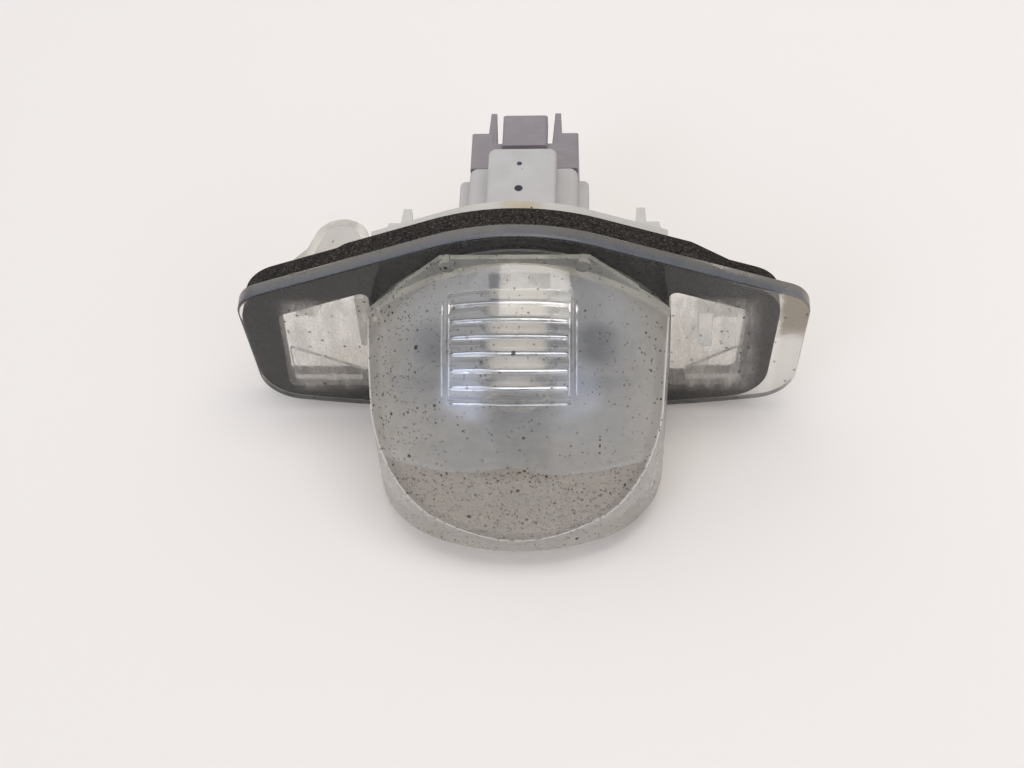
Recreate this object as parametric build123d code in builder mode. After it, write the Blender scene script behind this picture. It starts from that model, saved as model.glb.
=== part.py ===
from build123d import *
import os
from math import acos, cos, degrees, hypot, radians, sin, sqrt, tan

# Number plate lamp: a clear snap-in lens on a foam gasket, with a case, bulb holder and plug shroud behind.
# X runs along the lamp and Z up to the arched edge. The car's panel lies on Y = 0 and the dome points to -Y.
# A depth is a distance in front of the panel face, and a name ending in _back is a distance behind it.

# Panel and gasket
panel_thickness = 2.0
panel_play = 0.2
gasket_thickness = 2.8
gasket_inset = 0.05
gasket_right_short = 3.6
gasket_left_step_x = 22.1
gasket_left_step_run = 1.2
gasket_left_drop = 0.4
gasket_right_step_x = 22.3
gasket_right_step_run = 4.9
gasket_right_drop = 1.55
gasket_step_round = 3.0
gasket_left_corner_radius = 7.0
gasket_right_corner_radius = 5.0
gasket_clearance = 0.4
window_overlap = 0.1
window_left_x = 31.8
window_right_x = 29.8
window_top = 6.4
window_bottom = -13.3
window_left_lean = -0.4
window_right_lean = 1.0
window_corner_radius = 1.0

# Shallow recess moulded in the flange behind each window, with a sloping upper edge
recess_depth = 1.0
recess_gap = 2.3
recess_inset = 0.7
recess_top = -4.4
recess_fall = 4.8
recess_bottom = -11.6
recess_corner_radius = 0.4

# Lens flange
flange_thickness = 2.0
flange_left = 37.1
flange_right = 37.9
flange_top = 18.0
flange_bottom = -18.0
flange_arch_radius = 29.5
shoulder_angle = 21.25
end_lean_angle = 3.8
lower_bow_radius = 194.0
upper_corner_radius = 4.0
lower_corner_radius = 6.0
flange_edge_round = 0.4

# Lens dome: a rounded plan under a crown that swings forward about a cross axis
lens_wall = 2.0
dome_depth = 25.4
dome_half_width = 19.6
dome_side_draft_angle = 4.0
dome_bow_radius = 28.5
dome_corner_radius = 12.5
seat_corner_radius = 5.0
dome_top = 14.0
dome_bottom = -14.5
crease_z = -12.0
crown_profile_radius = 32.0
crown_arch_spare_root = 1.9
crown_arch_spare_front = 20.4
crown_front_angle = 89.0
crown_sections = 5
crown_side_margin = 0.6
crown_axis_gap = 1.0

# Flat-topped collar round the upper half of the dome, with a pad at each corner
collar_height = 0.7
collar_top = 14.6
collar_top_half_width = 9.4
collar_side_half_width = 15.6
collar_side_z = 8.6
pad_radius = 1.0
pad_height = 1.3
pad_inset = 0.9

# Fluted optic patch on the crown's inner face
flute_count = 7
flute_radius = 1.2
flute_sink = 0.6
flute_pitch_angle = 4.0
flute_first_angle = 19.6
patch_middle_x = -0.7
patch_half_width = 7.8
patch_bar_radius = 0.6

# Snap features moulded on the lens
leg_thickness = 1.2
leg_bend_radius = 3.1
leg_flare_angle = 20.0
leg_gap = 0.4
leg_reach_back = 10.1
leg_top = 5.0
leg_bottom = -4.5
catch_height = 1.3
catch_length = 2.6
hook_gap = 3.9
hook_thickness = 1.8
hook_foot = 6.2
hook_top = 1.8
hook_bottom = -5.0
rib_clearance = 0.15
rib_width = 0.8
rib_length = 1.5
root_sink = 0.5

# Rear housing
case_outset = 0.2
case_wall = 1.4
case_floor = 1.7
case_back = 4.7
body_inset = 0.2
body_top = 14.2
body_bottom = -14.7
body_corner_radius = 1.5
neck_radius = 9.8
neck_length = 2.4
bore_radius = 7.4
peg_left_x = 14.9
peg_right_x = 15.9
peg_z = 7.6
peg_width = 1.7
peg_length = 4.3
peg_taper_angle = 4.0
peg_foot_width = 3.6
peg_foot_length = 1.9
peg_foot_taper_angle = 12.0
web_width = 1.2
web_reach = 4.6
web_height = 1.3

# Bulb holder
seal_thickness = 0.6
seal_clearance = 0.1
plug_clearance = 0.15
plug_inside = 3.0
barb_height = 0.7
barb_length = 1.2
barb_width = 6.0
barb_play = 0.1
disc_radius = 9.0
disc_thickness = 1.6
holder_back = 20.3
core_half_width = 7.4
core_top = 4.5
step_half_width = 8.9
step_half_height = 1.6
boss_half_width = 4.6
boss_top = 8.0
column_round = 1.2
column_edge_round = 1.0
boss_round = 1.1
boss_edge_round = 0.4
step_round = 0.8
step_edge_round = 0.4

# Plug shroud
shroud_half_width = 7.4
shroud_top = 4.0
shroud_bottom = -6.0
shroud_wall = 1.3
shroud_floor = 1.5
shroud_length = 6.7
shroud_round = 0.3
post_length = 11.0
post_width = 1.6
post_round = 0.3
post_taper_angle = 3.0
post_x = 4.5
tongue_start = 3.5
tongue_length = 9.3
tongue_half_width = 3.1
tongue_rise = 0.9
tongue_round = 0.4
tongue_slot_start = 4.7

# Contacts
blade_x = 3.1
blade_thickness = 0.64
blade_width = 2.3
blade_length = 5.4
slot_clearance = 0.06
arm_root_back = 9.0
arm_pinch_back = 4.6
arm_tip_back = 2.2
arm_flare = 0.9
arm_bend_radius = 0.8
arm_lead = 1.0
contact_clearance = 0.05

# Bulb with a wedge base
wedge_half_thickness = 1.1
wedge_half_width = 4.7
wedge_back = 9.2
bulb_radius = 4.95
bulb_wall = 0.6
bulb_floor = 1.4
bulb_bottom = 0.6
bulb_bottom_round = 1.5
bulb_length = 26.8
cavity_half_x = 4.0
cavity_half_z = 5.0
cavity_back = 9.8
seat_clearance = 0.05
seat_half_width = 0.9
lead_radius = 0.22
lead_spread = 2.0
filament_depth = 11.0
filament_radius = 0.3
filament_rise = 1.2

# Sizes that follow from the ones above
flange_rear = gasket_thickness
flange_front = flange_rear + flange_thickness
dome_front = flange_front + dome_depth
catch_back = panel_thickness + panel_play
case_inner_back = case_back - case_floor
neck_back = case_back + neck_length
disc_front_back = neck_back + seal_thickness
disc_back = disc_front_back + disc_thickness
plug_radius = bore_radius - plug_clearance
plug_front_back = case_inner_back - plug_inside
bulb_tip = bulb_length - wedge_back
leg_inner_x = dome_half_width + case_outset + leg_gap
hook_x = dome_half_width + hook_gap
window_inner_x = dome_half_width - window_overlap
recess_inner_x = dome_half_width + recess_gap
body_half_width = dome_half_width - body_inset
crown_arch_radius_root = dome_half_width + crown_arch_spare_root
crown_arch_radius_front = dome_half_width + crown_arch_spare_front
shoulder_slope = tan(radians(shoulder_angle))

# The crown's profile is an arc from the top of the dome at the flange to the front crease.
crown_drop = dome_top - crease_z
crown_chord = hypot(dome_depth, crown_drop)
crown_offset = sqrt(crown_profile_radius**2 - (crown_chord / 2) ** 2)
crown_axis_depth = flange_front + dome_depth / 2 - crown_offset * crown_drop / crown_chord
crown_axis_z = (dome_top + crease_z) / 2 - crown_offset * dome_depth / crown_chord
crown_axis = Axis((0, -crown_axis_depth, crown_axis_z), (1, 0, 0))


def facing(depth):
    """Plane parallel to the panel at a depth in front of it, with sketch axes along X and Z."""
    return Plane.XZ.offset(depth)


def backing(distance):
    """Plane parallel to the panel at a distance behind it, looking back, with sketch axes along -X and Z."""
    return Plane(origin=(0, distance, 0), x_dir=(-1, 0, 0), z_dir=(0, 1, 0))


def crown_plane(angle):
    """Plane through the crown's cross axis, swung forward from upright, with sketch y pointing outwards."""
    swing = radians(angle)
    return Plane(
        origin=(0, -crown_axis_depth, crown_axis_z),
        x_dir=(1, 0, 0),
        z_dir=(0, -cos(swing), -sin(swing)),
    )


def crown_arch_radius(angle):
    """The crown's cross arch grows flatter from the flange to the front."""
    share = angle / crown_front_angle
    return crown_arch_radius_root + share * (crown_arch_radius_front - crown_arch_radius_root)


def shoulder_height(half, top, arch_radius):
    """Height of the straight shoulder at half a width, below an arch that rises to top."""
    slope = radians(shoulder_angle)
    return top - arch_radius * (1 - cos(slope)) - (half - arch_radius * sin(slope)) * shoulder_slope


def boat_outline(left, right, top, bottom, arch_radius, upper_radius, lower_radius):
    """Boat-shaped face: a round arch, straight shoulders, leaning ends and a bowed lower edge."""
    arch_x = arch_radius * sin(radians(shoulder_angle))
    arch_z = shoulder_height(arch_x, top, arch_radius)
    right_corner = (right, shoulder_height(right, top, arch_radius))
    left_corner = (-left, shoulder_height(left, top, arch_radius))

    def foot(half, corner_z):
        x = half - (corner_z - bottom) * tan(radians(end_lean_angle))
        return x, bottom + lower_bow_radius - sqrt(lower_bow_radius**2 - x**2)

    right_foot = foot(right, right_corner[1])
    left_x, left_z = foot(left, left_corner[1])
    left_foot = (-left_x, left_z)
    with BuildSketch() as outline:
        with BuildLine():
            ThreePointArc((-arch_x, arch_z), (0, top), (arch_x, arch_z))
            Polyline((arch_x, arch_z), right_corner, right_foot)
            ThreePointArc(right_foot, (0, bottom), left_foot)
            Polyline(left_foot, left_corner, (-arch_x, arch_z))
        make_face()
        for corner in (right_corner, left_corner):
            if upper_radius:
                fillet(outline.vertices().sort_by_distance(corner)[0], upper_radius)
        for corner in (right_foot, left_foot):
            fillet(outline.vertices().sort_by_distance(corner)[0], lower_radius)
    return outline.sketch


def arch_outline(outset):
    """Outline of the dome where it meets the flange, moved out by outset: an arch on straight sides."""
    half = dome_half_width + outset
    arch = crown_arch_radius_root + outset
    side_z = dome_top - crown_arch_radius_root + sqrt(arch**2 - half**2)
    bottom = dome_bottom - outset
    with BuildSketch() as outline:
        with BuildLine():
            ThreePointArc((half, side_z), (0, dome_top + outset), (-half, side_z))
            Polyline((-half, side_z), (-half, bottom), (half, bottom), (half, side_z))
        make_face()
        fillet(outline.vertices().group_by(Axis.Y)[0], seat_corner_radius + outset)
    return outline.sketch


def window_outline(side, outer_x, lean):
    """Window in the gasket beside the dome: a sloping top edge and a leaning outer edge."""
    drop = (outer_x - window_inner_x) * shoulder_slope
    with BuildSketch() as outline:
        with BuildLine():
            Polyline(
                (side * window_inner_x, window_top),
                (side * outer_x, window_top - drop),
                (side * (outer_x - lean), window_bottom),
                (side * window_inner_x, window_bottom),
                close=True,
            )
        make_face()
        fillet(outline.vertices(), window_corner_radius)
    return outline.sketch


def recess_outline(side, outer_x):
    """Recess inside a window: its upper edge falls from the outer end to the dome."""
    with BuildSketch() as outline:
        with BuildLine():
            Polyline(
                (side * recess_inner_x, recess_top - recess_fall),
                (side * (outer_x - recess_inset), recess_top),
                (side * (outer_x - recess_inset), recess_bottom),
                (side * recess_inner_x, recess_bottom),
                close=True,
            )
        make_face()
        fillet(outline.vertices(), recess_corner_radius)
    return outline.sketch


def gasket_shoulder(half):
    """Height of the gasket's shoulder at half a width, before its ends step down."""
    return shoulder_height(half, flange_top - gasket_inset, flange_arch_radius - gasket_inset)


def gasket_end_cut(side, step_x, step_run, drop):
    """Piece taken off a gasket's shoulder so that its edge steps down gently towards the end."""
    low_x = step_x + step_run
    with BuildSketch() as outline:
        with BuildLine():
            Polyline(
                (side * step_x, gasket_shoulder(step_x)),
                (side * low_x, gasket_shoulder(low_x) - drop),
                (side * flange_right, gasket_shoulder(flange_right) - drop),
                (side * flange_right, flange_top),
                (side * step_x, flange_top),
                close=True,
            )
        make_face()
    return outline.sketch


def dome_solid(inset, root_depth):
    """Dome brought in by inset on every side, from root_depth forwards."""
    front = dome_front - inset
    draft = tan(radians(dome_side_draft_angle))
    root_half = dome_half_width - inset + (flange_front - root_depth) * draft
    front_half = root_half - (front - root_depth) * draft
    bow_radius = dome_bow_radius - inset
    with BuildPart() as dome:
        with BuildSketch(Plane.XY.offset(dome_bottom + inset)) as plan:
            with BuildLine():
                Polyline(
                    (-root_half, -root_depth),
                    (root_half, -root_depth),
                    (front_half, -front),
                    (-front_half, -front),
                    close=True,
                )
            make_face()
            with Locations((0, bow_radius - front)):
                Circle(bow_radius, mode=Mode.INTERSECT)
            fillet(plan.vertices().group_by(Axis.Y)[0], dome_corner_radius - inset)
        extrude(amount=dome_top - dome_bottom)
        for step in range(crown_sections):
            angle = crown_front_angle * step / (crown_sections - 1)
            arch = crown_arch_radius(angle)
            half = dome_half_width - inset + crown_side_margin
            side_height = crown_profile_radius - arch + sqrt((arch - inset) ** 2 - half**2)
            with BuildSketch(crown_plane(angle)):
                with BuildLine():
                    ThreePointArc(
                        (half, side_height),
                        (0, crown_profile_radius - inset),
                        (-half, side_height),
                    )
                    Polyline(
                        (-half, side_height),
                        (-half, crown_axis_gap),
                        (half, crown_axis_gap),
                        (half, side_height),
                    )
                make_face()
        loft(mode=Mode.INTERSECT)
    return dome.part


def crown_inner_height(x, angle):
    """Distance from the crown's axis to its inner face, at x in the plane swung to angle."""
    arch = crown_arch_radius(angle)
    return crown_profile_radius - arch + sqrt((arch - lens_wall) ** 2 - x**2)


os.makedirs("parts", exist_ok=True)

dome_outside = dome_solid(0, flange_rear + flange_thickness / 2)
dome_inside = dome_solid(lens_wall, flange_rear - rib_length)

# Lens: flange, hollow dome, locating rib, spring leg, hook and the fluted patch in one moulding
with BuildPart() as lens:
    with BuildSketch(facing(flange_rear)):
        add(
            boat_outline(
                flange_left,
                flange_right,
                flange_top,
                flange_bottom,
                flange_arch_radius,
                upper_corner_radius,
                lower_corner_radius,
            )
        )
    extrude(amount=flange_thickness)
    fillet(lens.faces().sort_by(Axis.Y)[0].edges(), flange_edge_round)
    with BuildSketch(facing(flange_front)):
        with BuildLine():
            Polyline(
                (-collar_top_half_width, collar_top),
                (collar_top_half_width, collar_top),
                (collar_side_half_width, collar_side_z),
                (collar_side_half_width, 0),
                (-collar_side_half_width, 0),
                (-collar_side_half_width, collar_side_z),
                close=True,
            )
        make_face()
    extrude(amount=collar_height)
    with BuildSketch(facing(flange_front)):
        pad_x = collar_top_half_width - pad_inset
        with Locations((-pad_x, collar_top - pad_inset), (pad_x, collar_top - pad_inset)):
            Circle(pad_radius)
    extrude(amount=pad_height)
    add(dome_outside)
    with BuildSketch(facing(flange_rear)):
        add(arch_outline(case_outset - case_wall - rib_clearance))
        add(arch_outline(case_outset - case_wall - rib_clearance - rib_width), mode=Mode.SUBTRACT)
    extrude(amount=-rib_length)
    # Hairpin spring leg, seen from above as an arch with its free side ending in a catch
    leg_near_x = -leg_inner_x - leg_thickness / 2
    leg_bend_x = leg_near_x - leg_bend_radius
    leg_bend_back = leg_reach_back - leg_thickness / 2 - leg_bend_radius
    flare = radians(leg_flare_angle)
    leg_far_x = leg_bend_x - leg_bend_radius * cos(flare)
    leg_far_back = leg_bend_back + leg_bend_radius * sin(flare)
    leg_foot_x = leg_far_x - (leg_far_back - catch_back) * tan(flare)
    leg_outer = leg_thickness / 2 / cos(flare)
    with BuildSketch(Plane.XY.offset(leg_bottom)):
        with BuildLine():
            Line((leg_near_x, -flange_rear - root_sink), (leg_near_x, leg_bend_back))
            CenterArc((leg_bend_x, leg_bend_back), leg_bend_radius, 0, 180 - leg_flare_angle)
            Line((leg_far_x, leg_far_back), (leg_foot_x, catch_back))
        trace(line_width=leg_thickness)
        with BuildLine():
            Polyline(
                (leg_foot_x, catch_back),
                (leg_foot_x - leg_outer - catch_height, catch_back),
                (leg_foot_x - leg_outer + catch_length * tan(flare), catch_back + catch_length),
                (leg_foot_x + catch_length * tan(flare), catch_back + catch_length),
                close=True,
            )
        make_face()
    extrude(amount=leg_top - leg_bottom)
    # Fixed hook at the other end, an angle whose foot reaches under the panel
    with BuildSketch(Plane.XY.offset(hook_bottom)):
        with BuildLine():
            Polyline(
                (hook_x, -flange_rear - root_sink),
                (hook_x + hook_thickness, -flange_rear - root_sink),
                (hook_x + hook_thickness, catch_back),
                (hook_x + hook_thickness + hook_foot, catch_back),
                (hook_x + hook_thickness + hook_foot, catch_back + hook_thickness / 2),
                (hook_x + hook_thickness + hook_foot / 2, catch_back + hook_thickness),
                (hook_x, catch_back + hook_thickness),
                close=True,
            )
        make_face()
    extrude(amount=hook_top - hook_bottom)
    with BuildSketch(facing(flange_rear)):
        add(recess_outline(-1, window_left_x))
        add(recess_outline(1, window_right_x))
    extrude(amount=recess_depth, mode=Mode.SUBTRACT)
    add(dome_inside, mode=Mode.SUBTRACT)
    # Flutes follow the cross arch of the crown's inner face
    for flute in range(flute_count):
        flute_angle = flute_first_angle + flute * flute_pitch_angle
        flute_arch = crown_arch_radius(flute_angle) - lens_wall + flute_sink
        flute_centre = crown_profile_radius - crown_arch_radius(flute_angle)
        flute_start = degrees(acos((patch_middle_x + patch_half_width) / flute_arch))
        flute_end = degrees(acos((patch_middle_x - patch_half_width) / flute_arch))
        with BuildLine(crown_plane(flute_angle)) as flute_path:
            CenterArc((0, flute_centre), flute_arch, flute_start, flute_end - flute_start)
        with BuildSketch(Plane(origin=flute_path.line @ 0, z_dir=flute_path.line % 0)):
            Circle(flute_radius)
        sweep(path=flute_path.line)
    # A bar closes the flutes on each side
    with BuildSketch(crown_plane(flute_first_angle)):
        for bar_x in (patch_middle_x - patch_half_width, patch_middle_x + patch_half_width):
            with Locations((bar_x, crown_inner_height(bar_x, flute_first_angle))):
                Circle(patch_bar_radius)
    revolve(axis=crown_axis, revolution_arc=(flute_count - 1) * flute_pitch_angle)
lens.part.label = "lens"
export_step(lens.part, "parts/lens.step")

# Gasket: a foam ring whose opening takes the case and leaves a window beside it at each end
with BuildPart() as foam_gasket:
    with BuildSketch(facing(0)) as gasket_face:
        add(
            boat_outline(
                flange_left - gasket_inset,
                flange_right - gasket_right_short,
                flange_top - gasket_inset,
                flange_bottom + gasket_inset,
                flange_arch_radius - gasket_inset,
                0,
                lower_corner_radius - gasket_inset,
            )
        )
        add(
            gasket_end_cut(-1, gasket_left_step_x, gasket_left_step_run, gasket_left_drop),
            mode=Mode.SUBTRACT,
        )
        add(
            gasket_end_cut(1, gasket_right_step_x, gasket_right_step_run, gasket_right_drop),
            mode=Mode.SUBTRACT,
        )
        for side, step_x in ((-1, gasket_left_step_x), (1, gasket_right_step_x)):
            step = (side * step_x, gasket_shoulder(step_x))
            fillet(gasket_face.vertices().sort_by_distance(step)[0], gasket_step_round)
        left_end = (gasket_inset - flange_left, gasket_shoulder(flange_left) - gasket_left_drop)
        right_x = flange_right - gasket_right_short
        right_end = (right_x, gasket_shoulder(right_x) - gasket_right_drop)
        fillet(gasket_face.vertices().sort_by_distance(left_end)[0], gasket_left_corner_radius)
        fillet(gasket_face.vertices().sort_by_distance(right_end)[0], gasket_right_corner_radius)
        add(arch_outline(case_outset + gasket_clearance), mode=Mode.SUBTRACT)
        add(window_outline(-1, window_left_x, window_left_lean), mode=Mode.SUBTRACT)
        add(window_outline(1, window_right_x, window_right_lean), mode=Mode.SUBTRACT)
    extrude(amount=gasket_thickness)
foam_gasket.part.label = "foam_gasket"
export_step(foam_gasket.part, "parts/foam_gasket.step")

# Rear housing: a case welded to the flange, wider behind the panel, with a neck for the bulb holder
with BuildPart() as rear_housing:
    with BuildSketch(facing(flange_rear)):
        add(arch_outline(case_outset))
    extrude(amount=-flange_rear - case_back)
    with BuildSketch(backing(catch_back)) as body_face:
        add(
            boat_outline(
                flange_left,
                flange_right,
                body_top,
                flange_bottom,
                flange_arch_radius - flange_top + body_top,
                upper_corner_radius,
                lower_corner_radius,
            )
        )
        with Locations((0, body_bottom)):
            Rectangle(
                2 * body_half_width,
                body_top - body_bottom,
                align=(Align.CENTER, Align.MIN),
                mode=Mode.INTERSECT,
            )
        fillet(body_face.vertices().group_by(Axis.Y)[0], body_corner_radius)
    extrude(amount=case_back - catch_back)
    with BuildSketch(backing(case_back)):
        Circle(neck_radius)
    extrude(amount=neck_length)
    with BuildSketch(backing(case_back)):
        Rectangle(2 * (neck_radius + web_reach), web_width)
    extrude(amount=web_height)
    for peg_side, peg_x in ((1, peg_left_x), (-1, -peg_right_x)):
        with BuildSketch(backing(case_back)):
            with Locations((peg_x, peg_z)):
                Rectangle(peg_width, peg_width)
        extrude(amount=peg_length, taper=peg_taper_angle)
        with BuildSketch(backing(case_back)):
            with Locations((peg_x + peg_side * (peg_foot_width - peg_width) / 2, peg_z)):
                Rectangle(peg_foot_width, peg_width)
        extrude(amount=peg_foot_length, taper=peg_foot_taper_angle)
    with BuildSketch(facing(flange_rear)):
        add(arch_outline(case_outset - case_wall))
    extrude(amount=-flange_rear - case_inner_back, mode=Mode.SUBTRACT)
    with BuildSketch(backing(case_inner_back)):
        Circle(bore_radius)
    extrude(amount=neck_back - case_inner_back, mode=Mode.SUBTRACT)
rear_housing.part.label = "rear_housing"
export_step(rear_housing.part, "parts/rear_housing.step")

# Seal ring between the neck and the holder's disc
with BuildPart() as holder_seal:
    with BuildSketch(backing(neck_back)):
        Circle(disc_radius)
        Circle(plug_radius + seal_clearance, mode=Mode.SUBTRACT)
    extrude(amount=seal_thickness)
holder_seal.part.label = "holder_seal"
export_step(holder_seal.part, "parts/holder_seal.step")


def grip_block(half_width, half_height, corner_round, edge_round):
    """Block of the holder's grip, with round end corners in plan and softened upper and lower edges."""
    with BuildPart() as block:
        with BuildSketch(Plane.XY.offset(-half_height)) as plan:
            with Locations((0, disc_back)):
                Rectangle(2 * half_width, holder_back - disc_back, align=(Align.CENTER, Align.MIN))
            fillet(plan.vertices().group_by(Axis.Y)[-1], corner_round)
        extrude(amount=2 * half_height)
        flats = block.faces().filter_by(Axis.Z)
        fillet([edge for flat in flats for edge in flat.edges().sort_by(Axis.Y)[1:]], edge_round)
    return block.part


# Bulb holder: a plug in the neck, a disc on the seal and a stepped grip behind it
with BuildPart() as bulb_holder:
    with BuildSketch(backing(plug_front_back)):
        Circle(plug_radius)
    extrude(amount=disc_front_back - plug_front_back)
    with BuildSketch(facing(barb_play - case_inner_back)):
        Circle(plug_radius + barb_height)
        Rectangle(2 * disc_radius, barb_width, mode=Mode.INTERSECT)
    extrude(amount=barb_length)
    with BuildSketch(backing(disc_front_back)):
        Circle(disc_radius)
    extrude(amount=disc_thickness)
    add(grip_block(core_half_width, core_top, column_round, column_edge_round))
    add(grip_block(boss_half_width, boss_top, boss_round, boss_edge_round))
    add(grip_block(step_half_width, step_half_height, step_round, step_edge_round))
    with BuildSketch(backing(plug_front_back)):
        Rectangle(2 * cavity_half_x, 2 * cavity_half_z)
    extrude(amount=cavity_back - plug_front_back, mode=Mode.SUBTRACT)
    with BuildSketch(backing(wedge_back + seat_clearance)):
        Rectangle(2 * seat_half_width, 2 * cavity_half_z)
    extrude(amount=cavity_back - wedge_back - seat_clearance)
    with BuildSketch(backing(cavity_back)):
        with Locations((-blade_x, 0), (blade_x, 0)):
            Rectangle(blade_thickness + 2 * slot_clearance, blade_width + 2 * slot_clearance)
    extrude(amount=holder_back - cavity_back, mode=Mode.SUBTRACT)
bulb_holder.part.label = "bulb_holder"
export_step(bulb_holder.part, "parts/bulb_holder.step")

# Plug shroud: an open box with a latch tongue and two guide posts reaching past its mouth
with BuildPart() as connector_shroud:
    shroud_height = shroud_top - shroud_bottom
    shroud_middle = (shroud_top + shroud_bottom) / 2
    with BuildSketch(backing(holder_back)):
        with Locations((0, shroud_middle)):
            RectangleRounded(2 * shroud_half_width, shroud_height, shroud_round)
    extrude(amount=shroud_length)
    with BuildSketch(backing(holder_back + shroud_floor)):
        with Locations((0, shroud_middle)):
            Rectangle(2 * (shroud_half_width - shroud_wall), shroud_height - 2 * shroud_wall)
    extrude(amount=shroud_length - shroud_floor, mode=Mode.SUBTRACT)
    with BuildSketch(backing(holder_back + tongue_slot_start)):
        with Locations((0, shroud_top - shroud_wall)):
            Rectangle(2 * post_x, 2 * shroud_wall, align=(Align.CENTER, Align.MIN))
    extrude(amount=shroud_length - tongue_slot_start, mode=Mode.SUBTRACT)
    with BuildSketch(backing(holder_back + tongue_start)) as tongue_face:
        with Locations((0, shroud_top - shroud_wall)):
            Rectangle(2 * tongue_half_width, shroud_wall + tongue_rise, align=(Align.CENTER, Align.MIN))
        fillet(tongue_face.vertices().group_by(Axis.Y)[-1], tongue_round)
    extrude(amount=tongue_length - tongue_start)
    with BuildSketch(backing(holder_back + tongue_start)):
        with Locations((-post_x, shroud_top - shroud_wall / 2), (post_x, shroud_top - shroud_wall / 2)):
            RectangleRounded(post_width, shroud_wall, post_round)
    extrude(amount=post_length - tongue_start, taper=post_taper_angle)
    with BuildSketch(backing(holder_back)):
        with Locations((-blade_x, 0), (blade_x, 0)):
            Rectangle(blade_thickness + 2 * slot_clearance, blade_width + 2 * slot_clearance)
    extrude(amount=shroud_floor, mode=Mode.SUBTRACT)
connector_shroud.part.label = "connector_shroud"
export_step(connector_shroud.part, "parts/connector_shroud.step")


def contact_strip(side):
    """Brass strip: a plug blade behind and a sprung arm that pinches the bulb's wedge."""
    pinch_x = wedge_half_thickness + contact_clearance + blade_thickness / 2
    with BuildPart() as strip:
        with BuildSketch(backing(arm_root_back + arm_lead / 2)):
            with Locations((-side * blade_x, 0)):
                Rectangle(blade_thickness, blade_width)
        extrude(amount=holder_back + blade_length - arm_root_back - arm_lead / 2)
        with BuildSketch(Plane.XY.offset(-blade_width / 2)):
            with BuildLine():
                FilletPolyline(
                    (side * blade_x, arm_root_back + arm_lead),
                    (side * blade_x, arm_root_back),
                    (side * pinch_x, arm_pinch_back),
                    (side * (pinch_x + arm_flare), arm_tip_back),
                    radius=arm_bend_radius,
                )
            trace(line_width=blade_thickness)
        extrude(amount=blade_width)
    return strip.part


with BuildPart() as contact_left:
    add(contact_strip(-1))
contact_left.part.label = "contact_left"
export_step(contact_left.part, "parts/contact_left.step")

with BuildPart() as contact_right:
    add(contact_strip(1))
contact_right.part.label = "contact_right"
export_step(contact_right.part, "parts/contact_right.step")


def bulb_profile(radius, tip, bottom, round_radius):
    """Half section of the bulb: a flat bottom, a rounded corner, a straight side and a half-round nose."""
    with BuildSketch() as section:
        with BuildLine():
            Line((0, -tip), (0, -bottom))
            Line((0, -bottom), (radius - round_radius, -bottom))
            CenterArc((radius - round_radius, -bottom - round_radius), round_radius, 0, 90)
            Line((radius, -bottom - round_radius), (radius, radius - tip))
            CenterArc((0, radius - tip), radius, -90, 90)
        make_face()
    return section.sketch


# Bulb envelope with its flat wedge base
with BuildPart() as bulb_glass:
    with BuildSketch(Plane.XY):
        add(bulb_profile(bulb_radius, bulb_tip, bulb_bottom, bulb_bottom_round))
    revolve(axis=Axis.Y)
    with BuildSketch(facing(-wedge_back)):
        Rectangle(2 * wedge_half_thickness, 2 * wedge_half_width)
    extrude(amount=wedge_back + bulb_bottom + bulb_floor / 2)
    with BuildSketch(Plane.XY):
        add(
            bulb_profile(
                bulb_radius - bulb_wall, bulb_tip - bulb_wall, bulb_bottom + bulb_floor, bulb_bottom_round
            )
        )
    revolve(axis=Axis.Y, mode=Mode.SUBTRACT)
bulb_glass.part.label = "bulb_glass"
export_step(bulb_glass.part, "parts/bulb_glass.step")


def lead_wire(side):
    """Straight support wire from the glass floor to one end of the filament."""
    with BuildPart() as wire:
        with BuildSketch(facing(bulb_bottom + bulb_floor)):
            with Locations((0, side * lead_spread)):
                Circle(lead_radius)
        extrude(amount=filament_depth - bulb_bottom - bulb_floor)
    return wire.part


with BuildPart() as filament_lead_left:
    add(lead_wire(-1))
filament_lead_left.part.label = "filament_lead_left"
export_step(filament_lead_left.part, "parts/filament_lead_left.step")

with BuildPart() as filament_lead_right:
    add(lead_wire(1))
filament_lead_right.part.label = "filament_lead_right"
export_step(filament_lead_right.part, "parts/filament_lead_right.step")

# Filament: a bowed coil drawn as a plain wire of its outer diameter, from the end of one lead to the other
with BuildPart() as bulb_filament:
    with BuildLine(Plane.YZ) as filament_path:
        ThreePointArc(
            (-filament_depth, -lead_spread),
            (-filament_depth - filament_rise, 0),
            (-filament_depth, lead_spread),
        )
    with BuildSketch(Plane(origin=filament_path.line @ 0, z_dir=filament_path.line % 0)):
        Circle(filament_radius)
    sweep(path=filament_path.line)
    with BuildSketch(facing(filament_depth)):
        Rectangle(bulb_radius, bulb_radius + 2 * lead_spread)
    extrude(amount=-bulb_radius, mode=Mode.SUBTRACT)
bulb_filament.part.label = "bulb_filament"
export_step(bulb_filament.part, "parts/bulb_filament.step")
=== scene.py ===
import math

import bpy
import numpy as np
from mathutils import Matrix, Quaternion, Vector


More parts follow.
